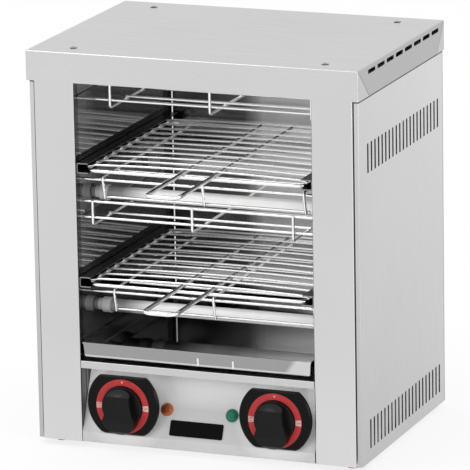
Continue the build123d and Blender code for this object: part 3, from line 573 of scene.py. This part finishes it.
finishes = {
    cover_steel(): ["top_cover"],
    satin_steel("satin_steel", along_x): ["front_header", "rear_header", "sill_shelf", "base_plate"],
    panel_steel(): ["control_panel"],
    satin_steel("back_steel", along_z): ["back_panel"],
    side_steel(): ["left_side_panel", "right_side_panel"],
    column_steel(): ["left_front_column", "right_front_column"],
    chamber_side_steel(): ["left_chamber_wall", "right_chamber_wall"],
    chamber_back_steel(): ["chamber_back_wall"],
    ceiling_steel(): ["ceiling_reflector", "tray_runners"],
    tray_steel(): ["crumb_tray"],
    rail_steel(): ["lower_left_rail", "lower_right_rail", "upper_left_rail", "upper_right_rail"],
    grid_chrome(): [
        "upper_rack", "lower_rack", "top_guard", "middle_upper_guard", "middle_lower_guard",
        "bottom_guard",
    ],
    handle_chrome(): ["upper_rack_handle", "lower_rack_handle"],
    quartz_glass(): ["top_quartz_tubes", "middle_quartz_tubes", "bottom_quartz_tubes"],
    plain_wire("heating_wire", shade=0.25, roughness=0.4): ["heating_cores"],
    ceramic(): ["tube_end_caps", "terminal_block"],
    plain_wire("terminal_nickel", shade=0.5, roughness=0.3): ["tube_terminals"],
    plastic("glass_sleeve", (0.7, 0.67, 0.6), roughness=0.8, grain_depth=0.0002): [
        "left_bus_wires", "right_bus_wires", "supply_wires",
    ],
    knob_plastic("left"): ["left_knob"],
    knob_plastic("right"): ["right_knob"],
    plastic("bezel_black", grey(0.003), roughness=0.3, specular=0.12): ["left_bezel", "right_bezel"],
    printed_red(): ["left_dial_ring", "right_dial_ring"],
    screw_head_steel(): ["cover_screws"],
    plain_wire("screw_zinc", shade=0.4, roughness=0.2): [
        "left_knob_shaft", "right_knob_shaft", "foot_fasteners", "back_screws", "base_screws",
        "timer_screws",
    ],
    plastic("case_black", (0.03, 0.03, 0.032), roughness=0.45): ["left_timer", "right_timer"],
    lamp_lens("orange_lens_clear", (0.5, 0.15, 0.04), (0.19, 0.045, 0.015), "orange_pilot_lens"): [
        "orange_pilot_lens",
    ],
    lamp_lens("green_lens_clear", (0.035, 0.2, 0.13), (0.015, 0.185, 0.115), "green_pilot_lens"): [
        "green_pilot_lens",
    ],
    plastic("holder_white", (0.75, 0.74, 0.7), roughness=0.5): ["pilot_holders"],
    plastic("badge_black_gloss", grey(0.003), roughness=0.2, grain_depth=0.00001, specular=0.05): [
        "badge_plate",
    ],
    rubber(): ["feet"],
    plastic("gland_black_grain", (0.02, 0.02, 0.02), roughness=0.5, grain_depth=0.00008): [
        "cable_gland",
    ],
}
for material, names in finishes.items():
    for name in names:
        mesh_object = nodes[name]
        if not mesh_object.material_slots:
            mesh_object.data.materials.append(material)
        for slot in mesh_object.material_slots:
            slot.link = "OBJECT"
            slot.material = material


# Dial print: pale boxes with numerals and a zero mark, each a little above what it lies on
pale_print = plastic("dial_pale_print", (0.62, 0.4, 0.37), roughness=0.4)
dark_print = plastic("dial_dark_print", (0.4, 0.02, 0.02), roughness=0.4)
ring_middle = dial_radius - dial_ring_width / 2
print_inset = 0.0003
box_lift = 0.00004
zero_lift = 0.00006
numeral_lift = 0.00009
numeral_size = 0.0052
numeral_half_depth = 0.00003
numeral_places = {"5": 0.0, "10": -90.0, "15": 180.0}


def print_piece(name, mesh, material, place):
    """A piece of print from a mesh drawn flat, moved to its place on a dial."""
    mesh.transform(place)
    mesh.materials.clear()
    mesh.materials.append(material)
    piece = bpy.data.objects.new(name, mesh)
    scene.collection.objects.link(piece)
    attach(piece, "casing")


def face_piece(name, points, material, place):
    """A piece of print with one face, from points that go round it clockwise."""
    mesh = bpy.data.meshes.new(name)
    mesh.from_pydata(points, [], [tuple(range(len(points)))[::-1]])
    mesh.update()
    print_piece(name, mesh, material, place)


def dial_box(name, angle, place):
    """A pale patch across the ring at an angle."""
    half_angle = math.radians(6.5)
    steps = 6
    inner = dial_radius - dial_ring_width + print_inset
    outer = dial_radius - print_inset
    points = []
    for radius, order in ((inner, 1), (outer, -1)):
        for index in range(steps + 1)[::order]:
            turn = angle - half_angle + 2 * half_angle * index / steps
            points.append((radius * math.cos(turn), radius * math.sin(turn), box_lift))
    face_piece(name, points, pale_print, place)


def numeral(name, words, angle, place):
    """A number as a thin raised mesh, with its foot towards the dial's middle."""
    curve = bpy.data.curves.new(name, "FONT")
    curve.body = words
    curve.size = numeral_size
    curve.extrude = numeral_half_depth
    curve.align_x = "CENTER"
    curve.align_y = "CENTER"
    text = bpy.data.objects.new(name + "_text", curve)
    scene.collection.objects.link(text)
    bpy.context.view_layer.update()
    mesh = bpy.data.meshes.new_from_object(text)
    bpy.data.objects.remove(text)
    spot = Vector((ring_middle * math.cos(angle), ring_middle * math.sin(angle), numeral_lift))
    turn = Matrix.Rotation(angle - math.pi / 2, 4, "Z")
    print_piece(name, mesh, dark_print, place @ Matrix.Translation(spot) @ turn)


def zero_mark(name, place):
    """A small triangle at the ring's top that points at the knob."""
    half_width = 0.0013
    top = 0.0011
    tip = -0.0012
    points = [(-half_width, top, 0), (half_width, top, 0), (0, tip, 0)]
    spot = Vector((0, ring_middle, zero_lift))
    face_piece(name, points, pale_print, place @ Matrix.Translation(spot))


upright = Matrix.Rotation(math.pi / 2, 4, "X")
for side, centre in dial_centres.items():
    face = Matrix.Translation(centre) @ upright
    for words, degrees in numeral_places.items():
        dial_box(f"{side}_dial_box_{words}", math.radians(degrees), face)
        numeral(f"{side}_dial_{words}", words, math.radians(degrees), face)
    zero_mark(f"{side}_dial_zero", face)


# Floor
floor_half = 9.0
floor_shade = 0.93
white_share = 0.8


def floor_material():
    """A pale floor that shows the camera a fainter shadow than the lamps leave on it."""
    material = bpy.data.materials.new("pale_floor")
    material.use_nodes = True
    tree = material.node_tree
    bsdf = tree.nodes["Principled BSDF"]
    bsdf.inputs["Base Color"].default_value = (*grey(floor_shade), 1.0)
    bsdf.inputs["Roughness"].default_value = 0.9
    bsdf.inputs["Specular IOR Level"].default_value = 0.0
    white = tree.nodes.new("ShaderNodeEmission")
    rays = tree.nodes.new("ShaderNodeLightPath")
    shown = rays.outputs["Is Camera Ray"]
    for name in ("Is Glossy Ray", "Is Transmission Ray"):
        either = tree.nodes.new("ShaderNodeMath")
        either.operation = "MAXIMUM"
        tree.links.new(shown, either.inputs[0])
        tree.links.new(rays.outputs[name], either.inputs[1])
        shown = either.outputs["Value"]
    share = tree.nodes.new("ShaderNodeMath")
    share.operation = "MULTIPLY"
    tree.links.new(shown, share.inputs[0])
    share.inputs[1].default_value = white_share
    mix = tree.nodes.new("ShaderNodeMixShader")
    tree.links.new(share.outputs["Value"], mix.inputs["Fac"])
    tree.links.new(bsdf.outputs["BSDF"], mix.inputs[1])
    tree.links.new(white.outputs["Emission"], mix.inputs[2])
    tree.links.new(mix.outputs["Shader"], tree.nodes["Material Output"].inputs["Surface"])
    return material


floor_corners = [
    (-floor_half, -floor_half, 0), (floor_half, -floor_half, 0),
    (floor_half, floor_half, 0), (-floor_half, floor_half, 0),
]
floor_mesh = bpy.data.meshes.new("floor")
floor_mesh.from_pydata(floor_corners, [], [(0, 1, 2, 3)])
floor_mesh.materials.append(floor_material())
floor = bpy.data.objects.new("floor", floor_mesh)
scene.collection.objects.link(floor)


# World
world = bpy.data.worlds.new("studio")
scene.world = world
world.use_nodes = True
background = world.node_tree.nodes["Background"]
background.inputs["Color"].default_value = (1.0, 1.0, 1.0, 1.0)
background.inputs["Strength"].default_value = 1.0


# Lamps
def area_lamp(name, place, target, size, power):
    data = bpy.data.lights.new(name, "AREA")
    data.shape = "RECTANGLE"
    data.size, data.size_y = size
    data.energy = power
    lamp = bpy.data.objects.new(name, data)
    lamp.location = place
    direction = Vector(target) - Vector(place)
    lamp.rotation_euler = direction.to_track_quat("-Z", "Y").to_euler()
    scene.collection.objects.link(lamp)


area_lamp("key_lamp", place=(-1.4, -1.2, 2.4), target=(0, 0, 0.2), size=(1.2, 0.9), power=8.0)
area_lamp("top_lamp", place=(-0.95, -0.35, 2.5), target=(0, 0, 0.1), size=(0.5, 0.5), power=4.5)
area_lamp("rim_lamp", place=(2.1, -1.1, 0.46), target=(0, 0, 0.05), size=(0.5, 0.7), power=8.0)


# Camera: the view fitted to the photograph
azimuth = math.radians(21.6434)
elevation = math.radians(14.2803)
roll = math.radians(-1.05)
camera_distance = 4.696354
camera_target = Vector((-0.010513, 0.0465, 0.191499))
photo_width = 470
focal_pixels = 4731.277
sensor_width = 36.0

back = Vector((
    math.sin(azimuth) * math.cos(elevation),
    -math.cos(azimuth) * math.cos(elevation),
    math.sin(elevation),
))
right = (-back).cross(Vector((0, 0, 1))).normalized()
up = right.cross(-back)
rolled_right = right * math.cos(roll) + up * math.sin(roll)
rolled_up = up * math.cos(roll) - right * math.sin(roll)
axes = Matrix((rolled_right, rolled_up, back)).transposed().to_4x4()

camera_data = bpy.data.cameras.new("photo_camera")
camera_data.sensor_fit = "HORIZONTAL"
camera_data.sensor_width = sensor_width
camera_data.lens = focal_pixels / photo_width * sensor_width
camera_data.clip_end = 60.0
camera = bpy.data.objects.new("photo_camera", camera_data)
camera.matrix_world = Matrix.Translation(camera_target + back * camera_distance) @ axes
scene.collection.objects.link(camera)
scene.camera = camera
